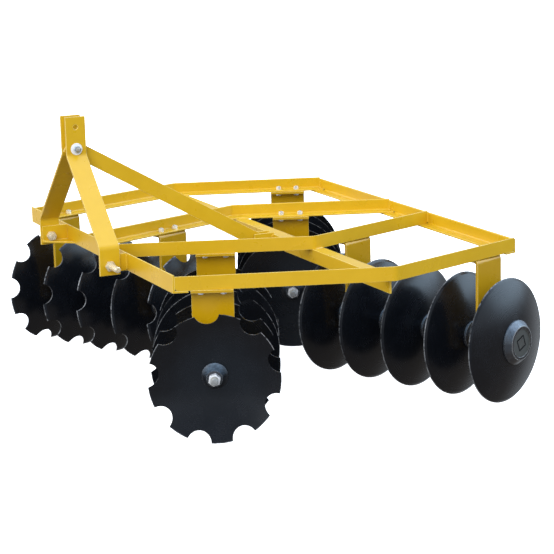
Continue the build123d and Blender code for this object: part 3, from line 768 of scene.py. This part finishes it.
def axle_end(joint, finishes):
    """The axle's chamfered nut, in place of the CAD one, and the thread past it."""
    gang, body = gang_name(joint), joint["child"]
    centre, axis = gang_line(joint)
    low, high = stretches(f"{gang}_axle_nut", centre, axis)[0]
    tip = stretches(f"{gang}_axle", centre, axis)[-1][1]
    place = frame_at(centre, axis, Vector(AXLE_NUT_TURN))
    mesh, ridge = bmesh.new(), bmesh.new()
    hex_nut(mesh, place @ Matrix.Translation((0, 0, low)), AXLE_NUT, high - low, AXLE / 2 + AXLE_NUT_ROOM)
    nut = piece(f"{gang}_axle_nut_chamfered", mesh, [finishes[0]], body)
    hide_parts(f"{gang}_axle_nut")
    thread(ridge, place, AXLE / 2 + AXLE_THREAD_CORE, AXLE / 2 + AXLE_THREAD_CREST, AXLE_THREAD_PITCH,
           high, tip - AXLE_CHAMFER)
    piece(f"{gang}_axle_thread", ridge, [finishes[1]], body)


# ==== welds ====
def rail_line(node, inset):
    """Front end, knee and rear end, in plan and as on the left, of a line inset from a rail's upright."""
    points = points_of(node)
    low_x, high_x = min(p.x for p in points), max(p.x for p in points)
    front_y, rear_y = (max(abs(p.y) for p in points if abs(p.x - x) < SAME_END)
                       for x in (high_x, low_x))
    knee = max(points, key=lambda p: abs(p.y))
    line = ((high_x, front_y), (knee.x, abs(knee.y)), (low_x, rear_y))
    return [Vector((x, y - inset)) for x, y in line]


def upright_bead(mesh, x, y, low, high, x_side, y_side):
    bead(mesh, Vector((x, y, low)), Vector((x, y, high)), (x_side, 0, 0), (0, y_side, 0))


def welds(paint):
    """Beads up the rails' ends, along the rails on the middle crossmember, and up the lugs and brackets."""
    mesh = bmesh.new()
    crossmember_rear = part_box("middle_crossmember")[0].x
    # insets of the rail's upright and of its flange's edge, and the side that the bead faces
    inboard, outboard = (RAIL_FLANGE, RAIL_SIZE, -1), (0.0, 0.0, 1)
    # the outer rails end flush with the crossmembers, so they have beads on the inboard side alone
    for name, sides in (("outer", [inboard]), ("inner", [inboard, outboard])):
        for hand_name, hand in (("left", 1), ("right", -1)):
            node = f"rail_{name}_{hand_name}"
            low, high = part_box(node)
            for upright_inset, flange_inset, facing in sides:
                front, _, rear = rail_line(node, upright_inset)
                for end, toward in ((front, -1), (rear, 1)):
                    upright_bead(mesh, end.x, hand * end.y, low.z + WELD_ENDS, high.z - RAIL_WELD_TOP,
                                 toward, hand * facing)
                _, knee, rear = rail_line(node, flange_inset)
                slope = (rear - knee) / (knee.x - rear.x)
                reaches = (KNEE_GAP, knee.x - crossmember_rear - CORNER_GAP)
                ends = [knee + slope * reach for reach in reaches]
                start, end = (Vector((p.x, hand * p.y, low.z)) for p in ends)
                bead(mesh, start, end, (0, hand * facing, 0), (0, 0, 1))
    for node, member in (("brace_lugs", "middle_crossmember"), ("hitch_brackets", "front_crossmember")):
        low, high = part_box(member)
        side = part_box(node)[1].y
        for hand in (1, -1):
            upright_bead(mesh, high.x, hand * side, low.z + WELD_ENDS, high.z - WELD_ENDS, 1, hand)
    piece("weld_beads", mesh, [paint], "frame", sharp=60)


# ==== the whole ====
def paint_cad_nodes(slots, hangers):
    """Gives every CAD node its finish: by its piece where that has its own, and otherwise by its slot."""
    joints = {joint["child"]: joint for joint in frame["joints"]}
    blades = {child: black_enamel(joint) for child, joint in joints.items()}
    bells = {child: black_casting(f"{child}_bell", joint) for child, joint in joints.items()}
    axles = {child: axle_steel(joint) for child, joint in joints.items()}
    for part in frame["record"]["subparts"]:
        name = part["node"]
        node = frame["nodes"][name]
        body = node.parent.name.removeprefix("body:")
        if name.endswith("_blades"):
            finish = blades[body]
        elif name.endswith("_end_bell"):
            finish = bells[body]
        elif name.endswith("_axle"):
            finish = axles[body]
        # the hangers take the yellow darkened as painted shade
        elif name.endswith("_hangers"):
            finish = hangers
        else:
            finish = slots[part["material_slot"]]
        node.data.materials.clear()
        node.data.materials.append(finish)


make_camera()
make_world()
make_floor()
fill_light()
bpy.context.scene.view_settings.view_transform = "Standard"

yellow = yellow_enamel("frame_yellow", 1.0)
zinc_plate = plating("zinc_plate", 0.55, ZINC_PLATE, 0.24, 0.38)
zinc_polished = plating("zinc_polished", 0.85, ZINC_POLISHED, 0.16, 0.26)
zinc_thread = plating("zinc_thread", 0.4, ZINC_THREAD, 0.30, 0.45)
zinc_washer = plating("zinc_washer", 0.2, ZINC_WASHER, 0.30, 0.45)
# the hangers' finish is the yellow darkened as painted shade
paint_cad_nodes({"frame_paint": yellow,
                 "casting": black_casting("cast_black"),
                 "zinc": zinc_plate,
                 "yellow_zinc": plating("yellow_chromate", 0.5, CHROMATE, 0.22, 0.36)},
                hangers=yellow_enamel("hanger_yellow", HANGER_PAINTED_SHADE))

for joint in frame["joints"]:
    hanger_and_bearing_bolts(joint, [zinc_plate, zinc_thread, zinc_washer])
    axle_end(joint, [zinc_plate, zinc_thread])
brace_bolts([zinc_polished, zinc_thread, zinc_washer])
welds(yellow)
